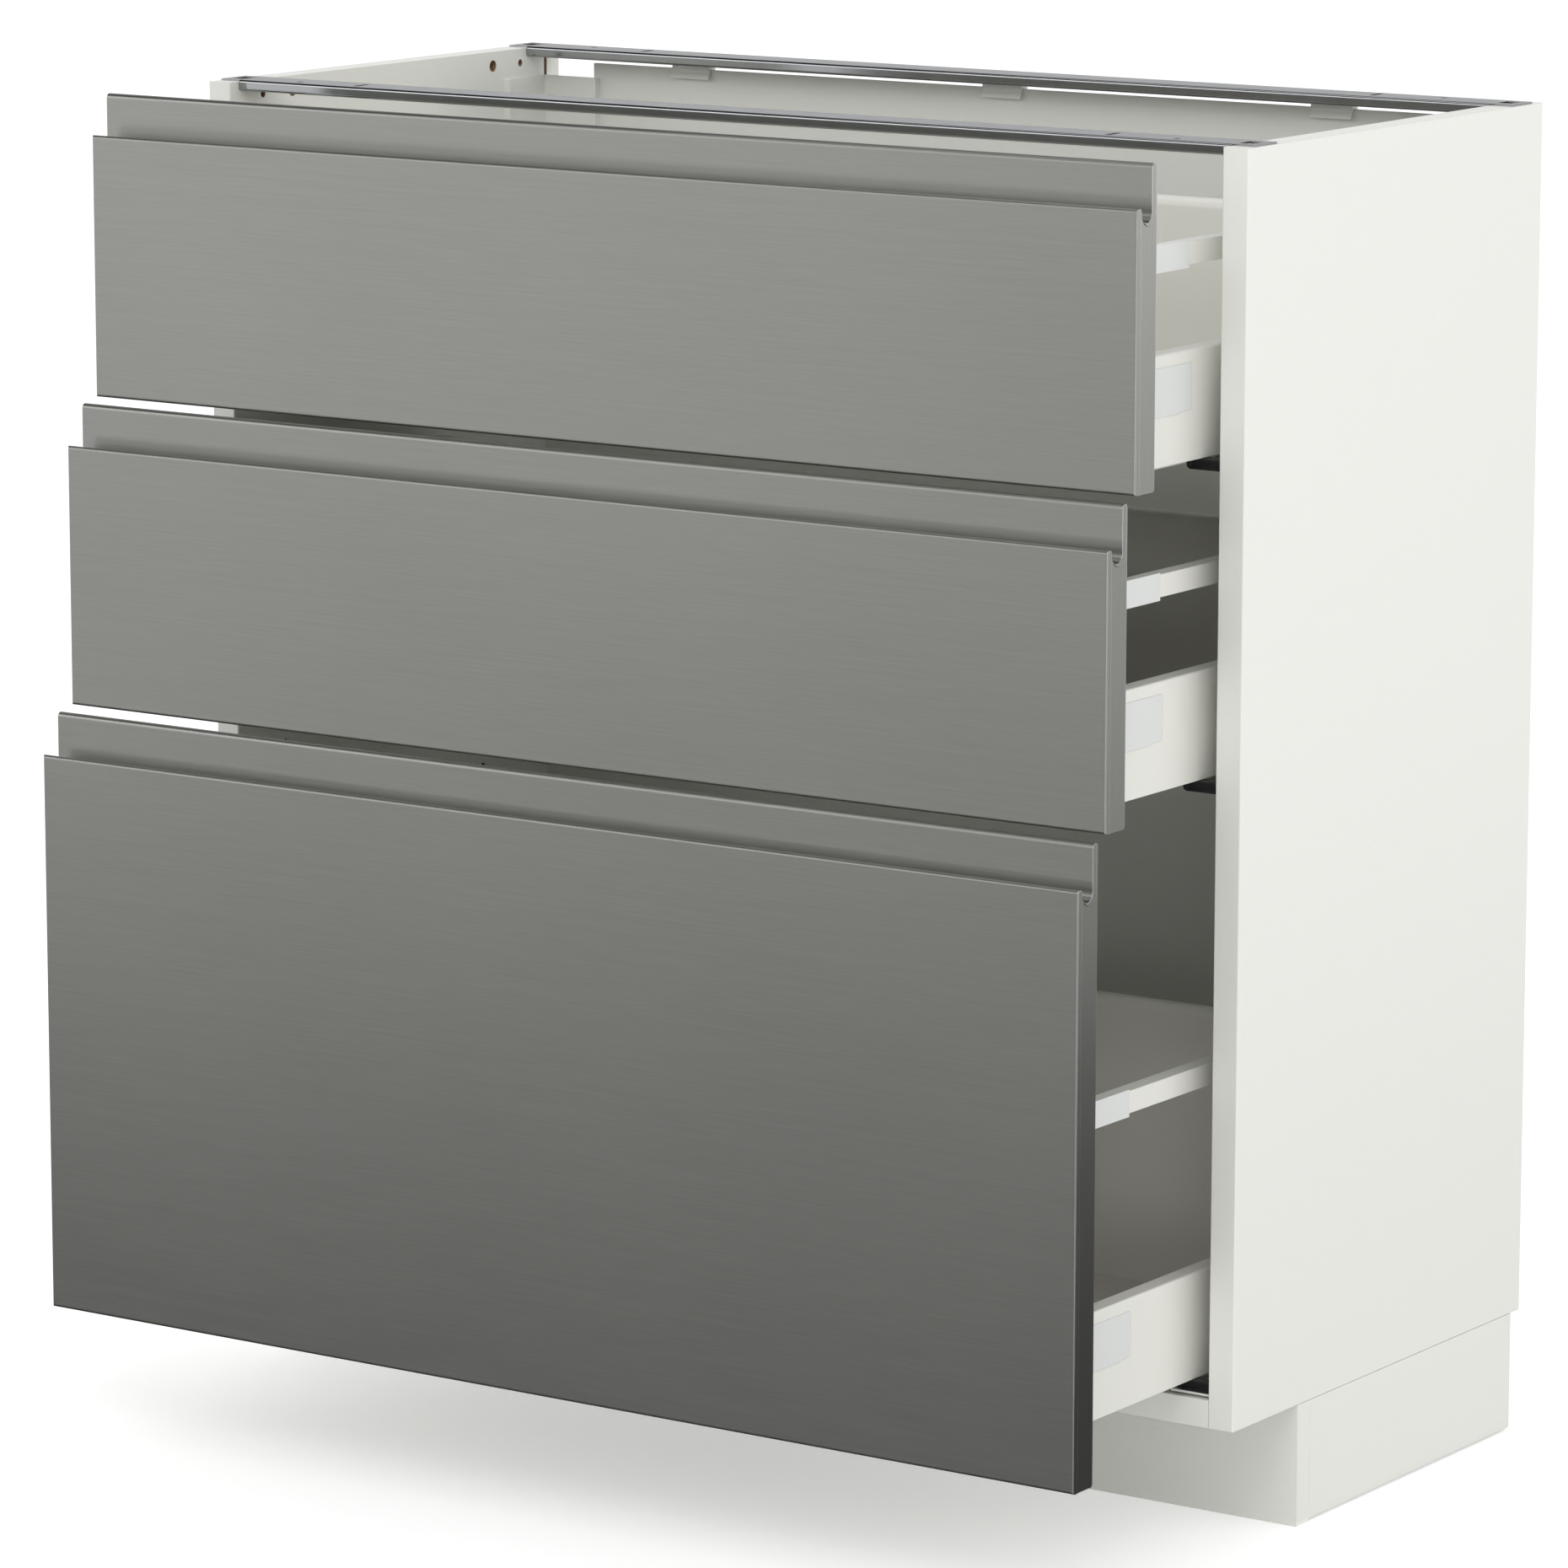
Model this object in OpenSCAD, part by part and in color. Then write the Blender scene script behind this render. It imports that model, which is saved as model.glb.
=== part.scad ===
// Kitchen base cabinet with three drawers: two low ones over a high one.
// Every piece is drawn where it sits with the drawers pulled out in steps.
// Axes: X to the right, Y to the rear, Z up. Origin: on the floor, in the middle of the
// space that the cabinet takes up with its drawers open. Lengths are in millimetres.

/* [Carcass] */
// Outer width of the carcass
carcass_w = 800; // [400:10:1200]
// Depth of the carcass, without the drawer fronts
carcass_d = 370; // [340:5:600]
// Height of the carcass, without the plinth
carcass_h = 800; // [760:5:900]
// Thickness of the side panels and the bottom panel
panel_t = 18; // [16:0.5:22]
// Thickness of the back panel
back_t = 3; // [2.5:0.5:6]
// Radius of the upright edges of the side panels
panel_edge_r = 1; // [0.5:0.1:2]
// Distance from the rear edge of the side panels to the back panel
back_inset = 15; // [12:1:30]
// Depth of the groove that holds the back panel
groove_d = 8; // [5:0.5:10]
// Height of the open strip above the back panel
back_drop = 10; // [8:1:20]
// Width of the notch in each top corner of the back panel
notch_w = 43; // [30:1:60]
// Height of that notch
notch_h = 60; // [40:1:90]

/* [Top rails] */
// Distance from the carcass edge to the rail
rail_inset = 9; // [4:0.5:14]
// Depth of the rails that join the side panels at the top
rail_d = 30; // [26:0.5:36]
// Height of the flanges of a rail
rail_h = 7.2; // [5:0.2:12]
// Thickness of the rail sheet
rail_t = 1.2; // [0.8:0.1:1.6]
// Outer radius of the bends in that sheet
rail_bend_r = 1.8; // [1.6:0.1:2.4]
// Length of the end plate on the side panel
end_plate_l = 16; // [12:0.5:16]
// Diameter of the holes for the worktop screws
worktop_hole = 4.5; // [3:0.5:6]
// Distance from the middle to these holes
worktop_hole_x = 338; // [320:1:350]
// Distance from the middle to the slots beside them
worktop_slot_x = 290; // [200:1:305]

/* [Plinth and legs] */
// Height of the legs, which is the height of the plinth too
leg_h = 80; // [70:1:120]
// Distance from the carcass front to the plinth
plinth_setback = 80; // [50:1:110]
// Thickness of the plinth boards
plinth_t = 16; // [12:0.5:19]
// Diameter of a leg tube
leg_tube = 30; // [24:1:40]
// Diameter of the foot disc
foot_disc = 46; // [40:1:60]
// Height of thread that shows between the foot and the leg tube
foot_thread = 6; // [4:0.5:10]

/* [Drawer fronts] */
// Height of the two low fronts
low_front_h = 197; // [190:1:210]
// Gap between the fronts
front_gap = 3; // [2:0.5:4]
// How much narrower than the carcass a front is, on each side
front_reveal = 1.5; // [1:0.5:3]
// Thickness of a front
front_t = 22; // [20:0.5:26]
// Thickness of the steel sheet round a front
sheet_t = 0.5; // [0.4:0.1:1.2]
// Radius of the folds along the edges of the sheet
edge_r = 1.8; // [1.6:0.1:2.4]
// Height of the lip that stands above the face
lip_rise = 26; // [20:0.5:34]
// Width of the finger channel behind the face
channel_w = 12; // [10:0.5:13]
// Depth of the finger channel below the top of the face
channel_depth = 9; // [8:0.5:20]
// Thickness of the wall in front of the channel
channel_wall = 4; // [3.4:0.1:5]
// Width of the rim along the section, which stands proud on the ends of a front
end_rim = 4.2; // [4:0.1:5]
// How far it stands proud
end_step = 0.5; // [0.3:0.1:0.8]
// Distance between the ribs of the light core inside a front
rib_pitch = 60; // [50:5:120]
// Thickness of these ribs
rib_t = 4; // [3:0.5:8]

/* [Drawers] */
// How far the top drawer is pulled out
open_top = 100; // [0:5:300]
// How far the middle drawer is pulled out
open_middle = 130; // [0:5:300]
// How far the bottom drawer is pulled out
open_bottom = 160; // [0:5:300]
// Gap between a closed front and the carcass, which the bumpers fill
closed_gap = 2; // [1.5:0.1:3]
// Gap between a drawer side and the side panel
side_gap = 14; // [13:0.5:18]
// Thickness of a double-walled drawer side
side_t = 13; // [12.5:0.1:15]
// Height of a drawer side
side_h = 68.5; // [64:0.5:90]
// Height of a low drawer's sides above the bottom of its front
low_side_lift = 6; // [5:0.5:10]
// Height of the bottom drawer's sides above the bottom of its front
high_side_lift = 25.5; // [24:0.5:32]
// Thickness of the drawer's steel sheet
steel_t = 1; // [0.8:0.1:1.2]
// Thickness of the drawer's bottom board
board_t = 12; // [10:0.5:12]
// Height of the gallery rail's top above the drawer side's bottom, low drawers
low_gallery_top = 134; // [110:1:140]
// The same height on the bottom drawer
high_gallery_top = 199; // [150:1:240]
// Height of the gallery rail
gallery_h = 14; // [10:0.5:18]
// Width of the gallery rail
gallery_w = 11; // [9:0.5:11.5]
// How far the top of the rear wall lies below the top of the gallery
rear_wall_drop = 3; // [2:0.5:12]
// Depth of the fold along the top of the rear wall
rear_fold = 12; // [9:0.5:16]
// Radius of the bend between the rear wall and that fold
rear_bend_r = 6; // [3:0.5:8]

/* [Hidden] */
$fn = 48;

// The drawers by number
TOP = 0;
MIDDLE = 1;
BOTTOM = 2;

// Overshoot of a cutting tool, clearance of a loose fit, running clearance and glue line
cut = 1;
fit = 0.3;
run = 0.4;
glue = 0.15;

// Carcass planes, counted from the front edges of the side panels
inner_x = carcass_w / 2 - panel_t;
back_y = carcass_d - back_inset - back_t;
floor_z = leg_h + panel_t;
top_z = leg_h + carcass_h;
front_plane_y = (closed_gap + front_t + max(open_top, open_middle, open_bottom) - carcass_d) / 2;

// Fronts from the top one down
high_front_h = carcass_h - 2 * (low_front_h + front_gap) - front_gap;
front_h = [low_front_h, low_front_h, high_front_h];
front_z = [
    top_z - low_front_h,
    top_z - 2 * low_front_h - front_gap,
    leg_h + front_gap
];
front_w = carcass_w - 2 * front_reveal;
lip_t = front_t - channel_wall - channel_w;
hem_w = 14;
core_frame = 18;
core_liner = 3;
lobe_r = 7.3;
lobe_from_rear = 1.8;
lobe_drop = 1;

// Drawers from the top one down
opening = [open_top, open_middle, open_bottom];
side_lift = [low_side_lift, low_side_lift, high_side_lift];
gallery_top = [low_gallery_top, low_gallery_top, high_gallery_top];
drawer_back_gap = 14;
drawer_l = back_y + closed_gap - drawer_back_gap;
side_x = inner_x - side_gap - side_t;
board_seat = -3;
flange_w = 14;
fold_r = 1.5;
fold_h = 10;
gallery_u = side_gap + side_t / 2;
connector_l = 88;
connector_grip = 38;
connector_w = side_t - 0.4;
connector_over = 1.3;
connector_under = 1.9;
cap_l = 91;
cap_h = 30;
cap_drop = 8;
cap_proud = 0.6;
cap_rim = 1.5;
cap_corner_r = 1.5;
cap_step = 1.2;
cap_step_l = 12;
bumper_d = 8;
bumper_inset = 20;
bracket_plate_t = 3;
bracket_l = 62;
bracket_h = 26;
bracket_t = 4;
cam_d = 12;
cam_y = [20, 46];

// Section of a runner, from the panel's inner face inwards and from the side's bottom up
runner_t = 1.5;
runner_base_z = -6.8;
runner_web_h = 26;
runner_inset = 5;
head_half = 3;
stem_half = 0.75;
lip_half = 1.3;
head_z = 12;
middle_t = 1.2;
middle_top_z = head_z + runner_t + run;
middle_lip_z = head_z - run - middle_t;
middle_head_z = middle_top_z + middle_t + 3;
drawer_lip_z = middle_head_z - run - steel_t;
drawer_web_z = middle_head_z + runner_t + run;
middle_inset = 8;
middle_shorter = 20;
front_end_l = 10;
front_end_y = 3;
front_end_wall = 2;
front_end_top = -0.5;
front_end_drop = 0.5;
front_end_r = 3;
front_end_rim = 1.6;
front_end_recess = 1.2;
runner_foot_w = 29;
runner_foot_z = -9.1;
screw_y = [37, 165, 293];
screw_z = 17;
screw_d = 5;
screw_l = 12;
screw_head = 9;
screw_head_t = 2.6;

// Holes in the inner faces of the side panels: depth from the front, height above the
// floor of the carcass or below its top, diameter
hole_l = 12;
top_holes = [[35, 10, 5], [67, 10, 8], [carcass_d - 78, 10, 8], [carcass_d - 46, 10, 5]];
side_holes = [[275, 732, 5], [275, 281, 5], [51, 331, 5]];

// Top rails, counted from the rail's outer edge: window in the end plate, and the tongue
// bent down from it that holds the rail in the side panel
window_y = [8, 21];
window_from = 1;
window_l = 10;
tongue_l = 8;
tongue_d = 10;
tongue_from = 2.3;
return_w = 4;
worktop_hole_y = 10;
worktop_slot_y = 13.5;
worktop_slot_l = 15;
worktop_slot_w = 4;

// Dowels between the bottom panel and the side panels
dowel_d = 8;
dowel_l = 30;
dowel_y = [50, 176, 302];

// Legs
leg_inset = 50;
leg_to_plinth = 30;
leg_x = carcass_w / 2 - leg_inset;
front_leg_y = plinth_setback + plinth_t + leg_to_plinth;
rear_leg_y = carcass_d - leg_inset;
socket_flange = 60;
socket_flange_t = 3;
foot_disc_t = 6;
foot_collar = 34;
foot_collar_t = 8;
foot_rib_t = 2;
foot_rib_h = 4;
socket_rib_t = 2;
socket_rib_h = 10;
socket_hole_r = 23;
socket_hole_d = 4;
thread_d = 16;
thread_l = 50;
tube_z = foot_disc_t + foot_collar_t + foot_thread;
clip_h = 12;
clip_t = 3;
clip_plate_w = 36;
clip_neck_w = 10;
clip_mouth_y = -4;
front_clip_z = 50;
side_clip_z = 32;
side_plinth_lift = 1.8;
side_plinth_end = 12;

// Pieces at the back panel
clip_w = 31;
clip_pitch = 255;
clip_sheet = 2.2;
clip_down = 6.4;
clip_bend = 2;
clip_flare = 1.8;
cover_wing = 48;
cover_t = 1.6;
cover_rim = 5.5;
cover_h = 66;
cover_drop = 20;

white_panel = [0.91, 0.92, 0.89];
white_steel = [0.90, 0.91, 0.89];
white_plastic = [0.86, 0.89, 0.91];
steel = [0.55, 0.56, 0.54];
chrome = [0.78, 0.80, 0.82];
grey_board = [0.62, 0.61, 0.58];
black = [0.05, 0.05, 0.05];
birch = [0.78, 0.66, 0.48];

// Places
module in_carcass() {
    translate([0, front_plane_y, 0]) children();
}

// A drawer's own place: Y is 0 at the rear face of its front, Z is 0 at the front's bottom
module in_drawer(d) {
    translate([0, front_plane_y - closed_gap - opening[d], front_z[d]]) children();
}

// The same place with Z at the bottom of the drawer sides
module in_box(d) {
    in_drawer(d) translate([0, 0, side_lift[d]]) children();
}

// Beside a fixed runner: Z is 0 at the bottom of the drawer sides that it carries
module at_runner(d) {
    in_carcass() translate([0, 0, front_z[d] + side_lift[d]]) children();
}

module both_sides() {
    children();
    mirror([1, 0, 0]) children();
}

// A section drawn inwards from the right panel's inner face, stretched from front to rear
module run_back(from_y, length) {
    translate([inner_x, from_y + length, 0])
        mirror([1, 0, 0])
            rotate([90, 0, 0])
                linear_extrude(height = length) children();
}

// A section of depth and height, stretched from left to right about the middle
module run_across(width) {
    translate([-width / 2, 0, 0])
        rotate([90, 0, 90])
            linear_extrude(height = width) children();
}

// A side view of depth and height, as a plate between two distances from the panel's inner face
module upright_plate(from_u, to_u) {
    translate([inner_x - to_u, 0, 0])
        rotate([90, 0, 90])
            linear_extrude(height = to_u - from_u) children();
}

// A rectangle from one corner to the other, grown by a margin all round
module box2(x0, y0, x1, y1, grow = 0) {
    translate([x0 - grow, y0 - grow]) square([x1 - x0 + 2 * grow, y1 - y0 + 2 * grow]);
}

// A rectangle whose two upper corners are round, each by its own radius
module round_top(x0, y0, x1, y1, r0, r1) {
    box2(x0, y0, x1 - r1, y1 - r0);
    box2(x0 + r0, y0, x1 - r1, y1);
    box2(x0 + r0, y0, x1, y1 - r1);
    translate([x0 + r0, y1 - r0]) circle(r0);
    translate([x1 - r1, y1 - r1]) circle(r1);
}

// A rectangle whose two lower corners are round
module round_bottom(x0, y0, x1, y1, r) {
    box2(x0, y0 + r, x1, y1);
    box2(x0 + r, y0, x1 - r, y1);
    translate([x0 + r, y0 + r]) circle(r);
    translate([x1 - r, y0 + r]) circle(r);
}

// A rectangle with four round corners
module round_box(x0, y0, x1, y1, r) {
    box2(x0, y0 + r, x1, y1 - r);
    box2(x0 + r, y0, x1 - r, y1);
    for (x = [x0 + r, x1 - r], y = [y0 + r, y1 - r]) translate([x, y]) circle(r);
}

module block(low, high) {
    translate(low) cube([high[0] - low[0], high[1] - low[1], high[2] - low[2]]);
}

// A bore along X from the right panel's inner face into the panel
module bore_into_panel(y, z, d, depth) {
    translate([inner_x - cut, y, z]) rotate([0, 90, 0]) cylinder(h = depth + cut, d = d);
}

// Carcass

module side_panel() {
    color(white_panel) in_carcass() difference() {
        translate([0, 0, leg_h]) linear_extrude(height = carcass_h)
            round_box(inner_x, 0, carcass_w / 2, carcass_d, panel_edge_r);
        block([inner_x - cut, back_y - fit / 2, leg_h - cut],
              [inner_x + groove_d, back_y + back_t + fit / 2, top_z + cut]);
        for (h = top_holes) bore_into_panel(h[0], top_z - h[1], h[2], hole_l);
        for (h = side_holes) bore_into_panel(h[0], floor_z + h[1], h[2], hole_l);
        for (d = [TOP, MIDDLE, BOTTOM], y = screw_y)
            bore_into_panel(y, front_z[d] + side_lift[d] + screw_z, screw_d + fit, screw_l + fit);
        for (y = dowel_y) bore_into_panel(y, leg_h + panel_t / 2, dowel_d + fit, dowel_l / 2 - 4 + fit);
        tongue_pocket();
        translate([0, carcass_d, 0]) mirror([0, 1, 0]) tongue_pocket();
    }
}

// Pocket in the top of the right panel for the tongue of the front rail
module tongue_pocket() {
    block([inner_x + tongue_from - fit, rail_inset + window_y[0], top_z - tongue_d - fit],
          [inner_x + tongue_from + tongue_l + fit, rail_inset + window_y[1] + rail_t + fit, top_z + cut]);
}

module bottom_panel() {
    color(white_panel) in_carcass() difference() {
        block([-inner_x, 0, leg_h], [inner_x, back_y, floor_z]);
        both_sides()
            for (y = dowel_y)
                translate([inner_x - dowel_l / 2 - 4 - fit, y, leg_h + panel_t / 2])
                    rotate([0, 90, 0]) cylinder(h = dowel_l, d = dowel_d + fit);
    }
}

module carcass_dowels() {
    color(birch) in_carcass() both_sides()
        for (y = dowel_y)
            translate([inner_x - dowel_l / 2 - 4, y, leg_h + panel_t / 2])
                rotate([0, 90, 0]) cylinder(h = dowel_l, d = dowel_d);
}

module back_panel() {
    half = inner_x + groove_d - fit;
    color(white_panel) in_carcass() difference() {
        block([-half, back_y, leg_h], [half, back_y + back_t, top_z - back_drop]);
        both_sides()
            block([inner_x - notch_w, back_y - cut, top_z - back_drop - notch_h],
                  [half + cut, back_y + back_t + cut, top_z]);
    }
}

// Section of a rail: a channel open below between two narrow returns
module rail_section() {
    low = top_z + rail_t - rail_h;
    difference() {
        round_box(0, low, rail_d, top_z + rail_t, rail_bend_r);
        round_box(rail_t, low + rail_t, rail_d - rail_t, top_z, rail_bend_r - rail_t);
        box2(return_w, low - cut, rail_d - return_w, low + 2 * rail_t);
    }
}

// A rail with its outer flange at Y = 0
module top_rail() {
    color(chrome) {
        difference() {
            run_across(2 * inner_x - fit) rail_section();
            both_sides() {
                translate([worktop_hole_x, worktop_hole_y, top_z - cut])
                    cylinder(h = rail_t + 2 * cut, d = worktop_hole);
                translate([worktop_slot_x, worktop_slot_y, top_z - cut])
                    linear_extrude(height = rail_t + 2 * cut)
                        round_box(-worktop_slot_w / 2, -worktop_slot_l / 2,
                                  worktop_slot_w / 2, worktop_slot_l / 2, worktop_slot_w / 2 - 0.1);
            }
        }
        both_sides() rail_end();
    }
}

module rail_end() {
    difference() {
        block([inner_x - 6, rail_bend_r, top_z],
              [inner_x + end_plate_l, rail_d - rail_bend_r, top_z + rail_t]);
        block([inner_x + window_from, window_y[0], top_z - cut],
              [inner_x + window_from + window_l, window_y[1], top_z + rail_t + cut]);
    }
    block([inner_x + tongue_from, window_y[1], top_z - tongue_d],
          [inner_x + tongue_from + tongue_l, window_y[1] + rail_t, top_z + rail_t]);
}

module top_rail_front() {
    in_carcass() translate([0, rail_inset, 0]) top_rail();
}

module top_rail_rear() {
    in_carcass() translate([0, carcass_d - rail_inset, 0]) mirror([0, 1, 0]) top_rail();
}

// Clips that hang under the rear rail and grip the top edge of the back panel, flared at the front
module back_panel_clips() {
    panel_top = top_z - back_drop;
    front = back_y - glue - clip_sheet;
    rear = back_y + back_t + glue;
    color(white_plastic) in_carcass()
        for (x = [-clip_pitch, 0, clip_pitch])
            translate([x, 0, 0]) run_across(clip_w) {
                box2(front, panel_top - clip_bend, back_y - glue, panel_top + glue + clip_sheet);
                polygon([[front, panel_top - clip_bend], [front - clip_flare, panel_top - clip_down],
                         [front - clip_flare + clip_sheet / 2, panel_top - clip_down],
                         [back_y - glue, panel_top - clip_bend]]);
                box2(front, panel_top + glue, rear + clip_sheet, panel_top + glue + clip_sheet);
                box2(rear, panel_top - clip_down + clip_bend, rear + clip_sheet, panel_top + glue);
                box2(back_y, panel_top + clip_sheet, back_y + back_t, top_z);
            }
}

// Angled cover in a rear corner, which closes the notch of the back panel
module corner_cover() {
    low = top_z - cover_drop - cover_h;
    high = top_z - cover_drop;
    color(white_plastic) in_carcass() {
        block([inner_x - cover_t, back_y - cover_wing, low], [inner_x, back_y, high]);
        block([inner_x - cover_wing, back_y - cover_t, low], [inner_x, back_y, high]);
        block([inner_x - cover_rim, back_y - cover_wing, low],
              [inner_x, back_y - cover_wing + cover_t, high]);
        block([inner_x - cover_wing, back_y - cover_rim, low],
              [inner_x - cover_wing + cover_t, back_y, high]);
    }
}

// Legs and plinth

module at_legs() {
    for (x = [-leg_x, leg_x], y = [front_leg_y, rear_leg_y]) translate([x, y, 0]) children();
}

module leg_sockets() {
    color(black) in_carcass() at_legs() difference() {
        union() {
            translate([0, 0, leg_h - socket_flange_t]) cylinder(h = socket_flange_t, d = socket_flange);
            translate([0, 0, tube_z]) cylinder(h = leg_h - tube_z, d = leg_tube);
            for (a = [45:90:315]) rotate([0, 0, a])
                block([0, -socket_rib_t / 2, leg_h - socket_flange_t - socket_rib_h],
                      [socket_flange / 2 - socket_rib_t, socket_rib_t / 2, leg_h]);
        }
        translate([0, 0, tube_z - cut]) cylinder(h = thread_l, d = thread_d + 2 * fit);
        for (a = [0:90:270]) rotate([0, 0, a])
            translate([socket_hole_r, 0, leg_h - socket_flange_t - cut])
                cylinder(h = socket_flange_t + 2 * cut, d = socket_hole_d);
    }
}

module foot(x, y) {
    color(black) in_carcass() translate([x, y, 0]) {
        cylinder(h = foot_disc_t, d = foot_disc);
        cylinder(h = foot_disc_t + foot_collar_t, d = foot_collar);
        cylinder(h = foot_disc_t + foot_collar_t + thread_l - 2 * foot_thread, d = thread_d);
        for (a = [0:60:300]) rotate([0, 0, a])
            block([0, -foot_rib_t / 2, 0],
                  [foot_disc / 2 - foot_rib_t, foot_rib_t / 2, foot_disc_t + foot_rib_h]);
    }
}

module plinth_front() {
    color(white_panel) in_carcass()
        block([-carcass_w / 2, plinth_setback, 0],
              [carcass_w / 2, plinth_setback + plinth_t, leg_h - fit]);
}

module plinth_side() {
    color(white_panel) in_carcass()
        block([carcass_w / 2 - plinth_t, plinth_setback + plinth_t, side_plinth_lift],
              [carcass_w / 2, carcass_d - side_plinth_end, leg_h - fit]);
}

// A spring clip: a plate on the board, a neck, and a ring open away from the board
module plinth_clip(reach) {
    linear_extrude(height = clip_h) difference() {
        union() {
            box2(-clip_plate_w / 2, reach - clip_t, clip_plate_w / 2, reach);
            box2(-clip_neck_w / 2, leg_tube / 2, clip_neck_w / 2, reach);
            circle(d = leg_tube + 2 * fit + 2 * clip_t);
        }
        circle(d = leg_tube + 2 * fit);
        box2(-leg_tube / 2 + clip_t, -leg_tube, leg_tube / 2 - clip_t, clip_mouth_y);
    }
}

module plinth_clips() {
    color(white_plastic) in_carcass() both_sides() {
        translate([leg_x, front_leg_y, front_clip_z]) rotate([0, 0, 180])
            plinth_clip(front_leg_y - plinth_setback - plinth_t);
        for (y = [front_leg_y, rear_leg_y])
            translate([leg_x, y, side_clip_z]) rotate([0, 0, -90])
                plinth_clip(carcass_w / 2 - plinth_t - leg_x);
    }
}

// Runners

// Fixed member: a web on the panel, a base under the drawer side and a T-shaped track
module runner_section(grow = 0) {
    box2(0, runner_base_z, runner_t, runner_web_h, grow);
    box2(0, runner_base_z, gallery_u + head_half + 1, runner_base_z + runner_t, grow);
    box2(gallery_u - stem_half, runner_base_z, gallery_u + stem_half, head_z, grow);
    box2(gallery_u - head_half, head_z, gallery_u + head_half, head_z + runner_t, grow);
}

module runner_rail(d) {
    at_runner(d) both_sides() difference() {
        union() {
            run_back(runner_inset, drawer_l - runner_inset) runner_section();
            if (d == BOTTOM) {
                run_back(front_end_y, drawer_l - front_end_y)
                    box2(0, runner_foot_z, runner_foot_w, runner_foot_z + runner_t);
                run_back(front_end_y + front_end_l + fit, drawer_l - front_end_y - front_end_l - fit)
                    box2(0, runner_foot_z, runner_t, runner_base_z);
            }
        }
        for (y = screw_y) translate([0, y, screw_z]) rotate([0, 90, 0])
            cylinder(h = inner_x + cut, d = screw_d + fit);
    }
}

module runner_rails() {
    color(white_steel) for (d = [TOP, MIDDLE, BOTTOM]) runner_rail(d);
}

module runner_front_ends() {
    end_u = gallery_u + head_half + 1;
    low = runner_base_z - front_end_drop;
    wide = end_u + front_end_drop;
    color(black) for (d = [TOP, MIDDLE, BOTTOM]) at_runner(d) both_sides() difference() {
        run_back(front_end_y, front_end_l) {
            box2(0, low, wide - front_end_r, front_end_top);
            box2(0, low + front_end_r, wide, front_end_top);
            translate([wide - front_end_r, low + front_end_r]) circle(front_end_r);
        }
        run_back(front_end_y + front_end_wall, front_end_l) runner_section(glue);
        run_back(front_end_y - cut, front_end_recess + cut)
            box2(front_end_rim, low + front_end_rim, wide - front_end_r, front_end_top - front_end_rim);
    }
}

module runner_screws() {
    color(chrome) for (d = [TOP, MIDDLE, BOTTOM]) at_runner(d) both_sides()
        for (y = screw_y) translate([inner_x - runner_t, y, screw_z]) rotate([0, 90, 0]) {
            cylinder(h = screw_l, d = screw_d);
            translate([0, 0, -screw_head_t]) cylinder(h = screw_head_t, d = screw_head);
        }
}

// Middle member: hangs over the fixed track and carries a second track for the drawer
module middle_section() {
    half = head_half + run;
    for (s = [-1, 1]) translate([gallery_u, 0]) scale([s, 1]) {
        box2(half, middle_lip_z, half + middle_t, middle_top_z + middle_t);
        box2(lip_half, middle_lip_z, half + middle_t, middle_lip_z + middle_t);
        box2(0, middle_top_z, half + middle_t, middle_top_z + middle_t);
        box2(0, middle_top_z, stem_half, middle_head_z + runner_t);
        box2(0, middle_head_z, head_half, middle_head_z + runner_t);
    }
}

module runner_middles(d) {
    color(chrome) at_runner(d) translate([0, -opening[d] / 2, 0]) both_sides()
        run_back(middle_inset, drawer_l - middle_shorter) middle_section();
}

// Drawer front

// Section of the front: depth behind the face, and height
module front_section(h, inset) {
    face_top = h - lip_rise;
    wall_r = channel_wall / 2;
    channel_x = channel_wall + channel_w / 2;
    channel_z = face_top - channel_depth + channel_w / 2;
    channel_r = channel_w / 2 + inset;
    lip_x = front_t - lip_t;
    difference() {
        round_bottom(inset, inset, front_t - inset, face_top - wall_r, edge_r - inset);
        translate([channel_x, channel_z]) circle(channel_r);
        box2(channel_x - channel_r, channel_z, channel_x + channel_r, h);
    }
    translate([wall_r, face_top - wall_r]) circle(wall_r - inset);
    box2(lip_x + inset, face_top - wall_r, front_t - inset, h - lip_t / 2);
    translate([lip_x + lip_t / 2, h - lip_t / 2]) circle(lip_t / 2 - inset);
}

// Area of the section that lies deeper on the ends: all but a rim along face, channel and lip
module end_field(h, inset) {
    lobe_x = front_t - lobe_from_rear - lobe_r;
    lobe_z = h - lip_rise - channel_depth + channel_w / 2 - lobe_drop;
    reach = lobe_r - inset;
    difference() {
        box2(end_rim - inset, -cut, front_t + cut, h + cut);
        translate([lobe_x, lobe_z]) circle(reach);
        box2(0, lobe_z, lobe_x + reach, h + 2 * cut);
    }
}

// The front's body, drawn in by an inset on every side but none of its own rounding lost
module front_body(h, inset) {
    translate([0, -front_t, 0]) difference() {
        intersection() {
            run_across(front_w - 2 * inset) front_section(h, inset);
            linear_extrude(height = h)
                round_bottom(-front_w / 2 + inset, inset, front_w / 2 - inset, front_t, edge_r - inset);
        }
        both_sides() translate([front_w / 2 - end_step - inset, 0, 0]) rotate([90, 0, 90])
            linear_extrude(height = end_step + cut) end_field(h, inset);
    }
}

// Bare field on the rear of the front, inside the hems of the sheet
module front_field(d, inset, deep) {
    block([-front_w / 2 + hem_w + inset, -deep, hem_w + inset],
          [front_w / 2 - hem_w - inset, 0, front_h[d] - lip_rise - channel_depth - hem_w - inset]);
}

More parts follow.
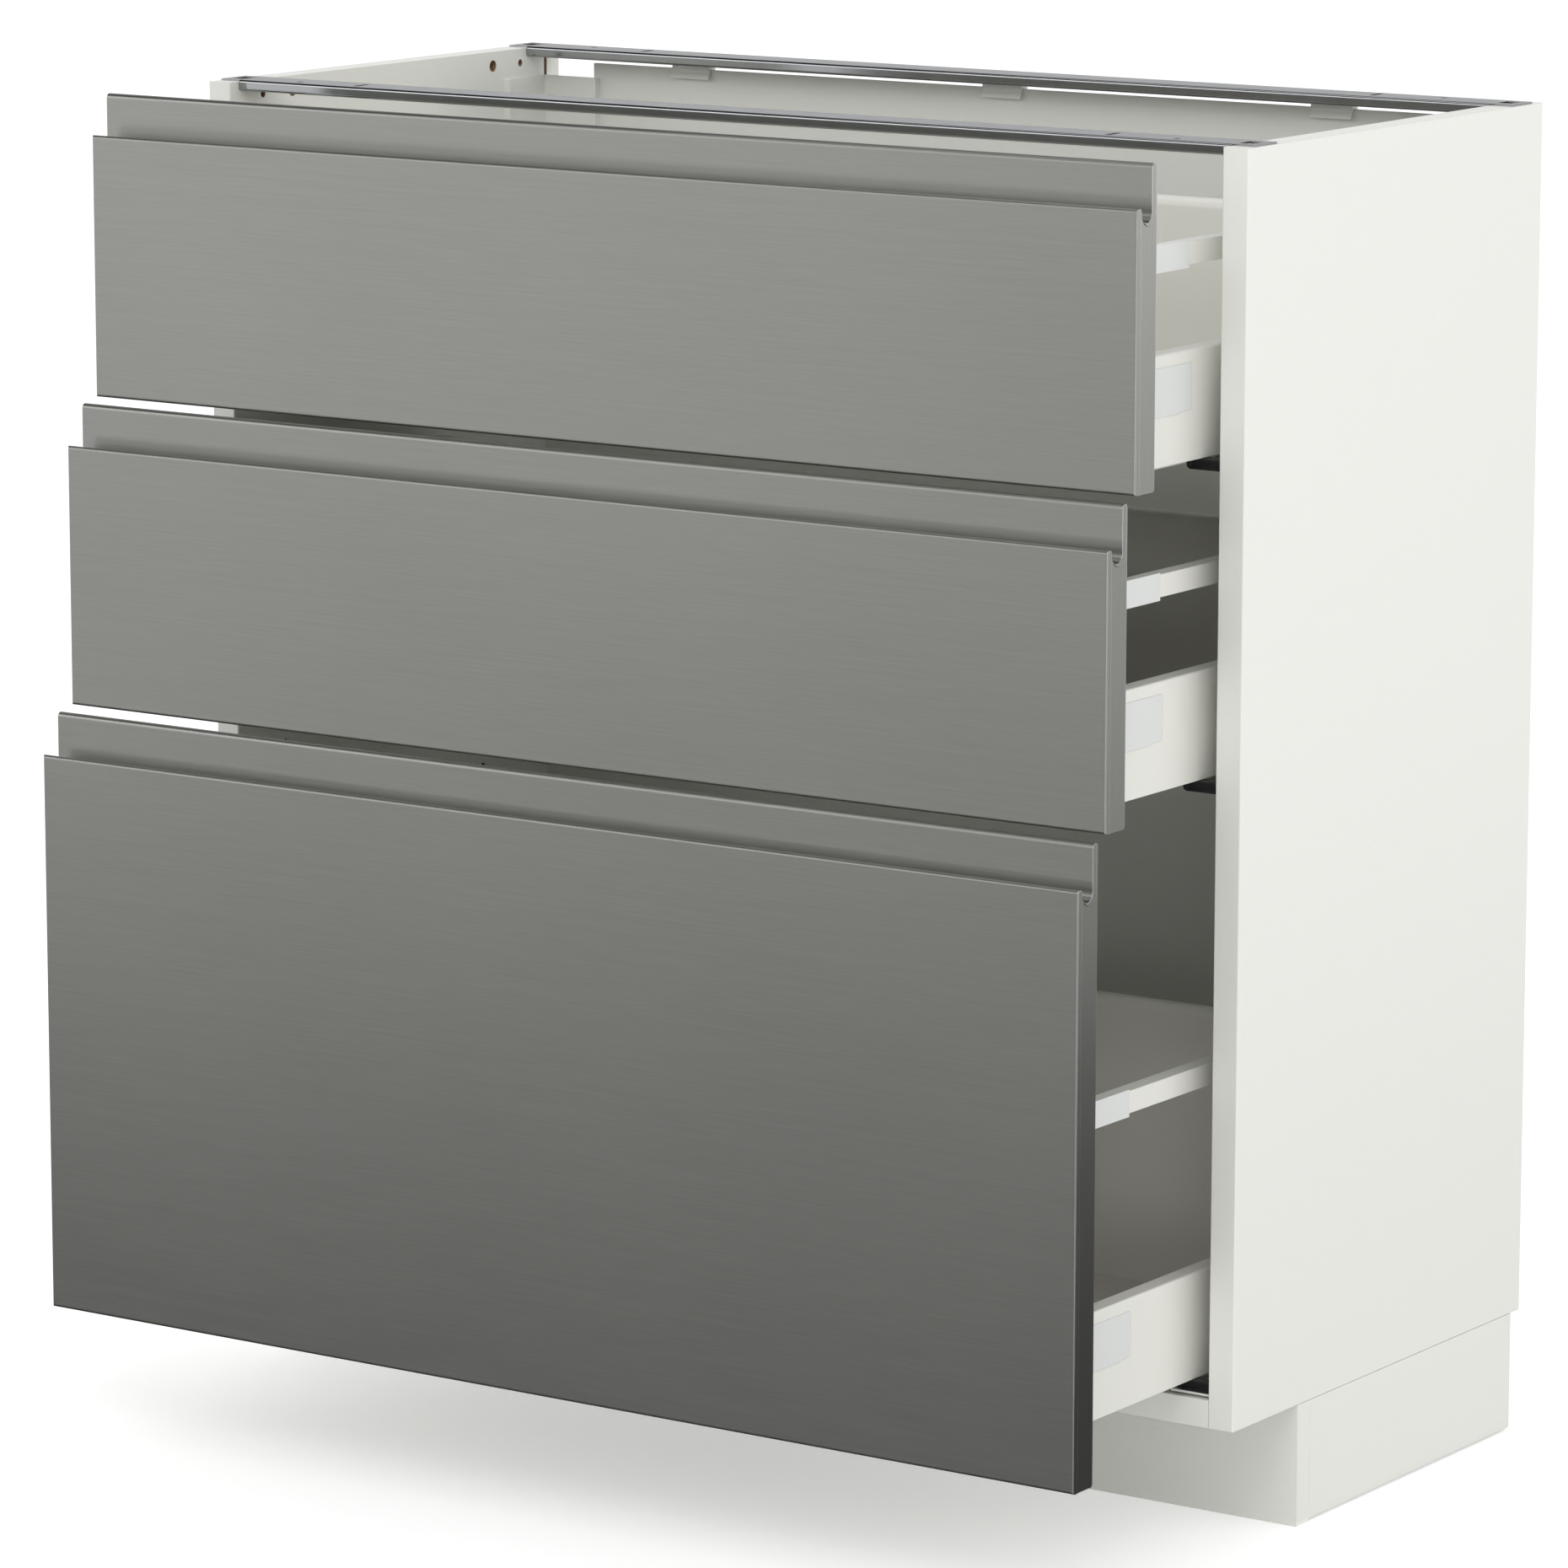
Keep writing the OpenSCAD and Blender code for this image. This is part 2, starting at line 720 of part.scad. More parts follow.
module front_skin(d) {
    color(steel) in_drawer(d) difference() {
        front_body(front_h[d], 0);
        front_body(front_h[d], sheet_t);
        translate([0, cut, 0]) front_field(d, 0, 2 * sheet_t + cut);
    }
}

// Open cells between the ribs of the core, in columns and rows behind the face
module core_cells(d) {
    wide = front_w - 2 * core_frame;
    tall = front_h[d] - lip_rise - channel_depth - 2 * core_frame;
    columns = round(wide / rib_pitch);
    rows = max(1, round(tall / rib_pitch));
    for (i = [0:columns - 1], k = [0:rows - 1])
        translate([i * wide / columns - wide / 2, 0, core_frame + k * tall / rows])
            block([rib_t / 2, -front_t, rib_t / 2],
                  [wide / columns - rib_t / 2, -core_liner, tall / rows - rib_t / 2]);
}

module front_core(d) {
    color(grey_board) in_drawer(d) difference() {
        union() {
            front_body(front_h[d], sheet_t + glue);
            front_field(d, glue, 2 * sheet_t);
        }
        core_cells(d);
    }
}

// Drawer box

// Double wall with a web and two lips that grip the runner's upper track
module side_section() {
    outer = side_gap;
    inner = side_gap + side_t;
    difference() {
        round_top(outer, 0, inner, side_h, fold_r, fold_r);
        round_top(outer + steel_t, -cut, inner - steel_t, side_h - steel_t,
                  fold_r - steel_t, fold_r - steel_t);
    }
    box2(inner - steel_t, board_seat - steel_t, inner, fold_r);
    box2(inner - steel_t, board_seat - steel_t, inner + flange_w, board_seat);
    box2(outer, drawer_web_z, inner, drawer_web_z + steel_t);
    box2(outer, drawer_lip_z, gallery_u - lip_half, drawer_lip_z + steel_t);
    box2(gallery_u + lip_half, drawer_lip_z, inner, drawer_lip_z + steel_t);
}

// Opening for the front fixing, in the outer wall
module cap_window(grow) {
    high = side_h - cap_drop - cap_rim;
    run_back(cap_rim - grow, cap_l - 2 * cap_rim + 2 * grow)
        box2(side_gap - cut, high - cap_h + 2 * cap_rim, side_gap + steel_t + cut, high, grow);
}

module drawer_side(d) {
    color(white_steel) in_box(d) difference() {
        run_back(0, drawer_l) side_section();
        cap_window(0);
    }
}

module side_caps(d) {
    high = side_h - cap_drop;
    low = high - cap_h;
    color(white_plastic) in_box(d) both_sides() {
        upright_plate(side_gap - cap_proud, side_gap) {
            round_box(0, low, cap_l - cap_step_l, high, cap_corner_r);
            round_box(cap_step_l, low + cap_step, cap_l, high, cap_corner_r);
        }
        run_back(cap_rim + glue, cap_l - 2 * cap_rim - 2 * glue)
            box2(side_gap - cap_proud, low + cap_rim + glue,
                 side_gap + steel_t, high - cap_rim - glue);
    }
}

// Bracket in the hollow of the side, with a height cam and a tilt cam
module front_brackets(d) {
    from_u = side_gap + steel_t + fit;
    to_u = side_gap + side_t - steel_t - fit;
    low = drawer_web_z + steel_t;
    color(chrome) in_box(d) both_sides() {
        run_back(0, bracket_plate_t) box2(from_u, low, to_u, side_h - steel_t - fit);
        run_back(0, bracket_l)
            box2(gallery_u - bracket_t / 2, low, gallery_u + bracket_t / 2, low + bracket_h);
        for (y = cam_y)
            translate([inner_x - to_u, y, low + bracket_h / 2]) rotate([0, 90, 0])
                cylinder(h = to_u - from_u, d = cam_d);
    }
}

module bottom_board(d) {
    half = side_x - glue;
    color(grey_board) in_box(d)
        block([-half, glue, board_seat], [half, drawer_l - rear_fold - glue, board_seat + board_t]);
}

// Section of the rear wall: depth and height above the side's bottom
module rear_section(low, high) {
    near = drawer_l - rear_fold;
    box2(near, low, near + steel_t, high - fold_h);
    difference() {
        round_top(near, high - fold_h, drawer_l, high, rear_bend_r, fold_r);
        round_top(near + steel_t, high - fold_h - cut, drawer_l - steel_t, high - steel_t,
                  rear_bend_r - steel_t, fold_r - steel_t);
    }
}

module rear_wall(d) {
    high = gallery_top[d] - rear_wall_drop;
    wide = 2 * (inner_x - side_gap);
    narrow = 2 * (side_x - glue);
    color(white_steel) in_box(d) {
        intersection() {
            run_across(wide) rear_section(board_seat, high);
            union() {
                block([-narrow / 2, 0, board_seat - cut], [narrow / 2, drawer_l + cut, high + cut]);
                block([-wide / 2, 0, side_h], [wide / 2, drawer_l + cut, high + cut]);
            }
        }
        run_across(narrow - 2 * flange_w - 2 * fit)
            box2(drawer_l - rear_fold - flange_w, board_seat - steel_t,
                 drawer_l - rear_fold + steel_t, board_seat);
        both_sides() run_back(drawer_l - rear_fold, rear_fold) difference() {
            box2(side_gap, side_h, side_gap + side_t, gallery_top[d]);
            box2(side_gap + steel_t, side_h + steel_t,
                 side_gap + side_t - steel_t, gallery_top[d] - steel_t);
        }
    }
}

module gallery_rails(d) {
    from_y = connector_l - connector_grip;
    low = gallery_top[d] - gallery_h;
    color(white_steel) in_box(d) both_sides()
        run_back(from_y, drawer_l - rear_fold - from_y) difference() {
            box2(gallery_u - gallery_w / 2, low, gallery_u + gallery_w / 2, gallery_top[d]);
            box2(gallery_u - gallery_w / 2, low, gallery_u + gallery_w / 2, gallery_top[d], -steel_t);
        }
}

// A block at the front of the rail, which ends in a shell under the rail and outside it
module gallery_connectors(d) {
    low = gallery_top[d] - gallery_h;
    outer = gallery_u - connector_w / 2;
    inner = gallery_u + connector_w / 2;
    high = gallery_top[d] + connector_over;
    color(white_plastic) in_box(d) both_sides() difference() {
        run_back(0, connector_l) box2(outer, low - connector_under, inner, high);
        run_back(connector_l - connector_grip - glue, connector_grip + cut)
            box2(gallery_u - gallery_w / 2 - glue, low - glue, inner + cut, high + cut);
    }
}

module bumpers(d) {
    color(white_plastic) in_drawer(d) both_sides()
        for (z = [bumper_inset, front_h[d] - lip_rise - bumper_inset])
            translate([carcass_w / 2 - panel_t / 2, 0, z]) rotate([-90, 0, 0])
                cylinder(h = closed_gap - fit, d = bumper_d);
}

mirror([1, 0, 0]) side_panel();  // side_panel_left
side_panel();  // side_panel_right
bottom_panel();
back_panel();
carcass_dowels();
top_rail_front();
top_rail_rear();
back_panel_clips();
mirror([1, 0, 0]) corner_cover();  // corner_cover_left
corner_cover();  // corner_cover_right
leg_sockets();
foot(-leg_x, front_leg_y);  // foot_front_left
foot(leg_x, front_leg_y);  // foot_front_right
foot(-leg_x, rear_leg_y);  // foot_rear_left
foot(leg_x, rear_leg_y);  // foot_rear_right
plinth_front();
mirror([1, 0, 0]) plinth_side();  // plinth_side_left
plinth_side();  // plinth_side_right
plinth_clips();
runner_rails();
runner_front_ends();
runner_screws();
runner_middles(TOP);  // runner_middles_top
runner_middles(MIDDLE);  // runner_middles_middle
runner_middles(BOTTOM);  // runner_middles_bottom
front_skin(TOP);  // top_front_skin
front_core(TOP);  // top_front_core
mirror([1, 0, 0]) drawer_side(TOP);  // top_side_left
drawer_side(TOP);  // top_side_right
bottom_board(TOP);  // top_bottom_board
rear_wall(TOP);  // top_rear_wall
gallery_rails(TOP);  // top_gallery_rails
gallery_connectors(TOP);  // top_gallery_connectors
side_caps(TOP);  // top_side_caps
front_brackets(TOP);  // top_front_brackets
bumpers(TOP);  // top_bumpers
front_skin(MIDDLE);  // middle_front_skin
front_core(MIDDLE);  // middle_front_core
mirror([1, 0, 0]) drawer_side(MIDDLE);  // middle_side_left
drawer_side(MIDDLE);  // middle_side_right
bottom_board(MIDDLE);  // middle_bottom_board
rear_wall(MIDDLE);  // middle_rear_wall
gallery_rails(MIDDLE);  // middle_gallery_rails
gallery_connectors(MIDDLE);  // middle_gallery_connectors
side_caps(MIDDLE);  // middle_side_caps
front_brackets(MIDDLE);  // middle_front_brackets
bumpers(MIDDLE);  // middle_bumpers
front_skin(BOTTOM);  // bottom_front_skin
front_core(BOTTOM);  // bottom_front_core
mirror([1, 0, 0]) drawer_side(BOTTOM);  // bottom_side_left
drawer_side(BOTTOM);  // bottom_side_right
bottom_board(BOTTOM);  // bottom_bottom_board
rear_wall(BOTTOM);  // bottom_rear_wall
gallery_rails(BOTTOM);  // bottom_gallery_rails
gallery_connectors(BOTTOM);  // bottom_gallery_connectors
side_caps(BOTTOM);  // bottom_side_caps
front_brackets(BOTTOM);  // bottom_front_brackets
bumpers(BOTTOM);  // bottom_bumpers
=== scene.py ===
"""Looks of a three-drawer kitchen base cabinet with brushed steel fronts, open in steps.

Everything is in metres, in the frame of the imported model: +X right, +Y rear, +Z up, floor at Z = 0.
"""

import math

import bpy
from mathutils import Matrix, Vector


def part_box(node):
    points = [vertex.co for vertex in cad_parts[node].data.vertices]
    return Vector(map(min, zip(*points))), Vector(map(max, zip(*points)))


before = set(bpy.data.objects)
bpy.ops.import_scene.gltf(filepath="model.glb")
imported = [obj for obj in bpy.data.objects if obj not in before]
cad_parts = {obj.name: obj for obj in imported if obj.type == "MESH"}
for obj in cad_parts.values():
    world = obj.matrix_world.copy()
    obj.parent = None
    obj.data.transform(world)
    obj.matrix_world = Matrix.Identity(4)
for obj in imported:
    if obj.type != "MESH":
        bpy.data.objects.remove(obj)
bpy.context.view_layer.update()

MM = 0.001
DRAWERS = ("top", "middle", "bottom")
BOARDS = ("side_panel_left", "side_panel_right", "bottom_panel", "back_panel",
          "plinth_front", "plinth_side_left", "plinth_side_right")
FEET = ("foot_front_left", "foot_front_right", "foot_rear_left", "foot_rear_right")

# Camera, worked out from the photograph's lines
CAMERA_PLACE = Vector((2.6645, -3.9134, 1.3143))
CAMERA_YAW = math.radians(34.266)
CAMERA_PITCH = math.radians(-10.530)
CAMERA_ROLL = math.radians(0.055)
FOCAL_PIXELS = 8736
IMAGE_PIXELS = 1860
SENSOR_MM = 36

# Room: the strength of the white surround, and what the floor adds where it is seen directly
ROOM_LEVEL = 0.86
FLOOR_GLOW = 0.36
FLOOR_SIZE = 60
FLOOR_COLOUR = (0.88, 0.88, 0.88)
WHITE = (1, 1, 1, 1)
# Soft lamps: name, place, the point that it faces, width, height, watts
LAMPS = (("key", (3.7, 2.2, 0.9), (0.3, 0.1, 0.3), 2.4, 1.4, 13),
         ("front", (3.3, -3.5, 0.5), (0.3, -0.1, 0.2), 2.4, 0.8, 24),
         ("above", (1.7, -3.3, 3.7), (0, 0.1, 0.75), 2.4, 2.0, 32),
         ("fill", (-3.4, -3.6, 2.6), (0, 0, 0.5), 3.0, 2.0, 22))
# Grey rings that only show in reflections: name, inner and outer radius, first and last angle
# round Z in degrees, height, and how light they are
CARDS = (("card_near", 0.02, 2.1, 180, 360, 0.002, 0.06),
         ("card_rear", 0.02, 1.9, 0, 180, 0.002, 0.06),
         ("card_far", 4.1, 6.6, 180, 360, 0.002, 0.04),
         ("card_side", 1.9, 9.0, 0, 180, 0.002, 0.64),
         ("card_above", 2.4, 6.0, 0, 360, 4.6, 0.03))
CARD_STEPS = 96

# Colours as linear light
OFF_WHITE = (0.825, 0.832, 0.785)
STEEL = (0.325, 0.328, 0.308)
# Lighter colour painted along the steel's edges as a highlight
STEEL_PAINTED_HIGHLIGHT = (0.72, 0.72, 0.71)
ZINC = (0.38, 0.39, 0.40)
ZINC_EDGE = (0.42, 0.43, 0.44)
WHITE_PAINT = (0.79, 0.788, 0.738)
COOL_WHITE = (0.72, 0.735, 0.725)
SOFT_WHITE = (0.86, 0.86, 0.82)
CLEAR = (0.8, 0.82, 0.82)
BLACK = (0.012, 0.013, 0.014)
BOARD_FOIL = (0.72, 0.70, 0.645)
FRONT_FOIL = (0.46, 0.445, 0.405)
CHIP_DARK = (0.20, 0.115, 0.055)
CHIP_LIGHT = (0.50, 0.34, 0.19)
BEECH = (0.56, 0.36, 0.19)

# Grains per metre along X, Y and Z
CHIPS = (900, 500, 1400)
FIBRES = (60, 1500, 1500)
FINE_STROKES = (34, 2300, 2300)
WIDE_STROKES = (12, 800, 800)
UPRIGHT_STROKES = (1900, 1900, 28)

# Raw board starts this far inside a foiled board's box
FOIL_DEPTH = 0.45 * MM
# Radii at which edges of folded sheet and foiled board, and of the other pieces, catch the light
FOLDED_EDGE = 0.5 * MM
PLAIN_EDGE = 0.4 * MM
BEVEL_SAMPLES = 4
# Painted highlight along the steel's edges: its width, and the cosines between rounded and flat
# normal for all and none of it
PAINTED_HIGHLIGHT_WIDTH = 0.9 * MM
PAINTED_HIGHLIGHT_COSINES = (0.80, 0.99)
# Steel end faces are those whose normal has this much of X; the brush turns on all others
END_FACING = 0.8
QUARTER_TURN = 0.25


def pick(sockets, identifier):
    """The socket of that identifier, where several share a name."""
    return next(socket for socket in sockets if socket.identifier == identifier)


class Finish:
    """A procedural material, built node by node on a Principled shader."""

    def __init__(self, name, colour, **sockets):
        self.material = bpy.data.materials.new(name)
        self.material.use_nodes = True
        self.tree = self.material.node_tree
        self.shader = self.tree.nodes["Principled BSDF"]
        self.place = self.add("TexCoord").outputs["Object"]
        self.set(Base_Color=(*colour, 1), **sockets)

    def set(self, **sockets):
        """Feeds the shader's own sockets; an underscore in a name stands for a space."""
        for name, value in sockets.items():
            self.feed(self.shader.inputs[name.replace("_", " ")], value)

    def feed(self, socket, value):
        """Links a socket to another, or gives it a plain value."""
        if isinstance(value, bpy.types.NodeSocket):
            self.tree.links.new(value, socket)
        else:
            socket.default_value = value

    def add(self, kind, inputs=None, **settings):
        """A new node with its settings and inputs."""
        node = self.tree.nodes.new("ShaderNode" + kind)
        for name, value in settings.items():
            setattr(node, name, value)
        for name, value in (inputs or {}).items():
            self.feed(node.inputs[name], value)
        return node

    def math(self, operation, first, second=0.0):
        return self.add("Math", {0: first, 1: second}, operation=operation).outputs[0]

    def axis(self, letter):
        """The object's own X, Y or Z."""
        return self.add("SeparateXYZ", {0: self.place}).outputs[letter]

    def noise(self, per_metre, detail=2.0, roughness=0.5):
        """Noise of about per_metre grains along each axis, one number or three."""
        scale = per_metre if isinstance(per_metre, tuple) else (per_metre,) * 3
        inputs = {0: self.place, 1: scale}
        vector = self.add("VectorMath", inputs, operation="MULTIPLY").outputs[0]
        inputs = {"Vector": vector, "Scale": 1.0, "Detail": detail, "Roughness": roughness}
        return self.add("TexNoise", inputs).outputs["Fac"]

    def spread(self, value, low, high, from_low=0.0, from_high=1.0):
        """The value's span from_low to from_high, mapped to low and high."""
        inputs = {"Value": value, "From Min": from_low, "From Max": from_high,
                  "To Min": low, "To Max": high}
        return self.add("MapRange", inputs).outputs["Result"]

    def blend(self, amount, first, second):
        """Colour between first and second, colours or sockets."""
        node = self.add("Mix", data_type="RGBA")
        self.feed(pick(node.inputs, "Factor_Float"), amount)
        for identifier, value in (("A_Color", first), ("B_Color", second)):
            colour = value if isinstance(value, bpy.types.NodeSocket) else (*value, 1)
            self.feed(pick(node.inputs, identifier), colour)
        return pick(node.outputs, "Result_Color")

    def choose(self, amount, first, second):
        """Number between first and second."""
        node = self.add("Mix", data_type="FLOAT")
        self.feed(pick(node.inputs, "Factor_Float"), amount)
        self.feed(pick(node.inputs, "A_Float"), first)
        self.feed(pick(node.inputs, "B_Float"), second)
        return pick(node.outputs, "Result_Float")

    def shade(self, colour, amount, low, high):
        """The colour made lighter and darker, between low and high times its value."""
        factor = self.spread(amount, low, high)
        inputs = {0: colour, "Scale": factor}
        return self.add("VectorMath", inputs, operation="SCALE").outputs[0]

    def rounded(self, radius):
        """Normals as if edges were rounded by the radius."""
        return self.add("Bevel", {"Radius": radius}, samples=BEVEL_SAMPLES).outputs["Normal"]

    def rim(self, radius):
        """1 on edges within the radius, and 0 elsewhere: the mask of the steel's painted highlight.
        """
        flat = self.add("NewGeometry").outputs["Normal"]
        inputs = {0: self.rounded(radius), 1: flat}
        same = self.add("VectorMath", inputs, operation="DOT_PRODUCT").outputs["Value"]
        return self.spread(same, 1, 0, *PAINTED_HIGHLIGHT_COSINES)

    def bump(self, height, strength, depth, edge=0.0):
        """Fine relief, and edges that catch the light as if rounded by the radius edge."""
        inputs = {"Height": height, "Strength": strength, "Distance": depth}
        if edge:
            inputs["Normal"] = self.rounded(edge)
        self.set(Normal=self.add("Bump", inputs).outputs["Normal"])


def within(finish, low, high, margin):
    """1 strictly inside a box that is drawn in by a margin, and 0 outside."""
    inside = None
    for axis, start, end in zip("XYZ", low, high):
        value = finish.axis(axis)
        past_start = finish.math("GREATER_THAN", value, start + margin)
        before_end = finish.math("LESS_THAN", value, end - margin)
        both = finish.math("MULTIPLY", past_start, before_end)
        inside = both if inside is None else finish.math("MULTIPLY", inside, both)
    return inside


def particleboard(finish):
    """Colour of raw particleboard, as cut holes and grooves show it."""
    chips = finish.noise(CHIPS, detail=3)
    return finish.blend(finish.spread(chips, 0, 1, 0.35, 0.65), CHIP_DARK, CHIP_LIGHT)


def foil_panel(name, node):
    """Melamine foil with a faint pearl, and raw board where holes and grooves cut in."""
    finish = Finish(name, OFF_WHITE, Roughness=0.42, Specular_IOR_Level=0.42)
    mottle = finish.noise(220, detail=4)
    foil = finish.shade(OFF_WHITE, mottle, 0.985, 1.01)
    core = within(finish, *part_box(node), FOIL_DEPTH)
    rougher = finish.math("MULTIPLY", core, 0.45)
    finish.set(Base_Color=finish.blend(core, foil, particleboard(finish)),
               Roughness=finish.math("ADD", finish.spread(mottle, 0.38, 0.46), rougher))
    finish.bump(finish.noise(1500, detail=3), 0.12, 0.05 * MM, edge=FOLDED_EDGE)
    return finish.material


def brushed_steel(name):
    """Stainless sheet brushed along X, and upright on the end faces, with a painted highlight on its
    edges.
    """
    finish = Finish(name, STEEL, Metallic=1.0, Anisotropic=0.75)
    finish.set(Tangent=finish.add("Tangent", direction_type="RADIAL", axis="Z").outputs[0])
    normal = finish.add("NewGeometry").outputs["Normal"]
    facing = finish.add("SeparateXYZ", {0: normal}).outputs["X"]
    is_end = finish.math("GREATER_THAN", finish.math("ABSOLUTE", facing), END_FACING)
    is_face = finish.math("SUBTRACT", 1.0, is_end)
    finish.set(Anisotropic_Rotation=finish.math("MULTIPLY", is_face, QUARTER_TURN))
    fine = finish.noise(FINE_STROKES, detail=4, roughness=0.75)
    wide = finish.noise(WIDE_STROKES, detail=2)
    upright = finish.noise(UPRIGHT_STROKES, detail=4, roughness=0.75)
    flat = finish.math("ADD", finish.math("MULTIPLY", fine, 0.65),
                       finish.math("MULTIPLY", wide, 0.35))
    strokes = finish.choose(is_end, flat, upright)
    cloud = finish.noise(5, detail=1)
    colour = finish.shade(STEEL, finish.spread(strokes, 0, 1, 0.35, 0.65), 0.94, 1.06)
    colour = finish.shade(colour, cloud, 0.97, 1.03)
    # Painted highlight: a lighter colour blended in along the rounded edges, in place of the light
    # they catch
    colour = finish.blend(finish.rim(PAINTED_HIGHLIGHT_WIDTH), colour, STEEL_PAINTED_HIGHLIGHT)
    finish.set(Base_Color=colour, Roughness=finish.spread(strokes, 0.30, 0.44))
    finish.bump(strokes, 0.10, 0.02 * MM, edge=FOLDED_EDGE)
    return finish.material


def zinc_plate(name):
    """Bright zinc-plated steel with the soft patches of its plating."""
    finish = Finish(name, ZINC, Metallic=1.0, Specular_Tint=(*ZINC_EDGE, 1))
    patches = finish.noise(60, detail=3)
    finish.set(Base_Color=finish.shade(ZINC, patches, 0.93, 1.05),
               Roughness=finish.spread(patches, 0.10, 0.19))
    finish.bump(finish.noise(400, detail=2), 0.04, 0.02 * MM, edge=PLAIN_EDGE)
    return finish.material


def powder_coat(name):
    """White powder coat with its fine orange peel."""
    finish = Finish(name, WHITE_PAINT, Specular_IOR_Level=0.5)
    peel = finish.noise(900, detail=2)
    finish.set(Base_Color=finish.shade(WHITE_PAINT, finish.noise(30), 0.99, 1.01),
               Roughness=finish.spread(peel, 0.30, 0.42))
    finish.bump(peel, 0.10, 0.05 * MM, edge=PLAIN_EDGE)
    return finish.material


def moulded(name, colour, roughness, **sockets):
    """Moulded plastic with a fine spark-eroded skin."""
    finish = Finish(name, colour, **sockets)
    skin = finish.noise(1800, detail=2)
    finish.set(Base_Color=finish.shade(colour, skin, 0.98, 1.02),
               Roughness=finish.spread(skin, roughness - 0.05, roughness + 0.05))
    finish.bump(skin, 0.12, 0.03 * MM, edge=PLAIN_EDGE)
    return finish.material


def foil_board(name, colour):
    """Foil with a fleck too fine to count."""
    finish = Finish(name, colour, Specular_IOR_Level=0.35)
    specks = finish.noise(700, detail=4, roughness=0.7)
    finish.set(Base_Color=finish.shade(colour, specks, 0.95, 1.04),
               Roughness=finish.spread(specks, 0.48, 0.60))
    finish.bump(specks, 0.10, 0.05 * MM)
    return finish.material


def dowel_wood(name):
    """Beech with its grain along the dowel."""
    finish = Finish(name, BEECH, Roughness=0.65)
    fibres = finish.noise(FIBRES, detail=3)
    finish.set(Base_Color=finish.shade(BEECH, fibres, 0.75, 1.2))
    finish.bump(fibres, 0.3, 0.1 * MM)
    return finish.material


def make_camera():
    """The photograph's view, with no shift."""
    yaw, pitch, roll = CAMERA_YAW, CAMERA_PITCH, CAMERA_ROLL
    flat = math.cos(pitch)
    forward = Vector((-math.sin(yaw) * flat, math.cos(yaw) * flat, math.sin(pitch)))
    level = Vector((math.cos(yaw), math.sin(yaw), 0))
    upright = level.cross(forward)
    right = level * math.cos(roll) + upright * math.sin(roll)
    up = upright * math.cos(roll) - level * math.sin(roll)
    data = bpy.data.cameras.new("camera")
    data.sensor_width = SENSOR_MM
    data.lens = FOCAL_PIXELS / IMAGE_PIXELS * SENSOR_MM
    camera = bpy.data.objects.new("camera", data)
    turn = Matrix((right, up, -forward)).transposed().to_4x4()
    camera.matrix_world = Matrix.Translation(CAMERA_PLACE) @ turn
    bpy.context.scene.collection.objects.link(camera)
    bpy.context.scene.camera = camera


def seen_directly(tree):
    """1 for camera, glossy and transmission rays, and 0 for the others."""
    path = tree.nodes.new("ShaderNodeLightPath")
    total = path.outputs["Is Camera Ray"]
    for name in ("Is Glossy Ray", "Is Transmission Ray"):
        either = tree.nodes.new("ShaderNodeMath")
        either.operation = "MAXIMUM"
        tree.links.new(total, either.inputs[0])
        tree.links.new(path.outputs[name], either.inputs[1])
        total = either.outputs[0]
    return total


def make_room():
    """A white surround that lights the object softly."""
    world = bpy.data.worlds.new("room")
    bpy.context.scene.world = world
    world.use_nodes = True
    tree = world.node_tree
    seen = seen_directly(tree)
    level = tree.nodes.new("ShaderNodeMapRange")
    level.inputs["To Min"].default_value = ROOM_LEVEL
    level.inputs["To Max"].default_value = 1.0
    tree.links.new(seen, level.inputs["Value"])
    tree.links.new(level.outputs["Result"], tree.nodes["Background"].inputs["Strength"])
    tree.nodes["Background"].inputs["Color"].default_value = WHITE


def make_floor():
    """A pale floor that runs to the horizon, white to the eye apart from the object's shadow."""
    bpy.ops.mesh.primitive_plane_add(size=FLOOR_SIZE, location=(0, 0, 0))
    floor = bpy.context.object
    floor.name = "floor"
    finish = Finish("floor", FLOOR_COLOUR, Roughness=0.9, Specular_IOR_Level=0.0)
    glow = finish.math("MULTIPLY", seen_directly(finish.tree), FLOOR_GLOW)
    finish.set(Emission_Color=WHITE, Emission_Strength=glow)
    floor.data.materials.append(finish.material)


def make_card(name, inner, outer, first, last, height, level):
    """A flat ring that only reflections show, as a photographer's flag."""
    turns = [math.radians(first + (last - first) * step / CARD_STEPS)
             for step in range(CARD_STEPS + 1)]
    points = [(radius * math.cos(turn), radius * math.sin(turn), height)
              for turn in turns for radius in (inner, outer)]
    faces = [(2 * step, 2 * step + 1, 2 * step + 3, 2 * step + 2) for step in range(CARD_STEPS)]
    mesh = bpy.data.meshes.new(name)
    mesh.from_pydata(points, [], faces)
    card = bpy.data.objects.new(name, mesh)
    bpy.context.scene.collection.objects.link(card)
    card.visible_camera = False
    card.visible_diffuse = False
    card.visible_shadow = False
    card.visible_transmission = False
    finish = Finish(name, (0, 0, 0), Specular_IOR_Level=0.0, Emission_Color=WHITE,
                    Emission_Strength=level)
    mesh.materials.append(finish.material)


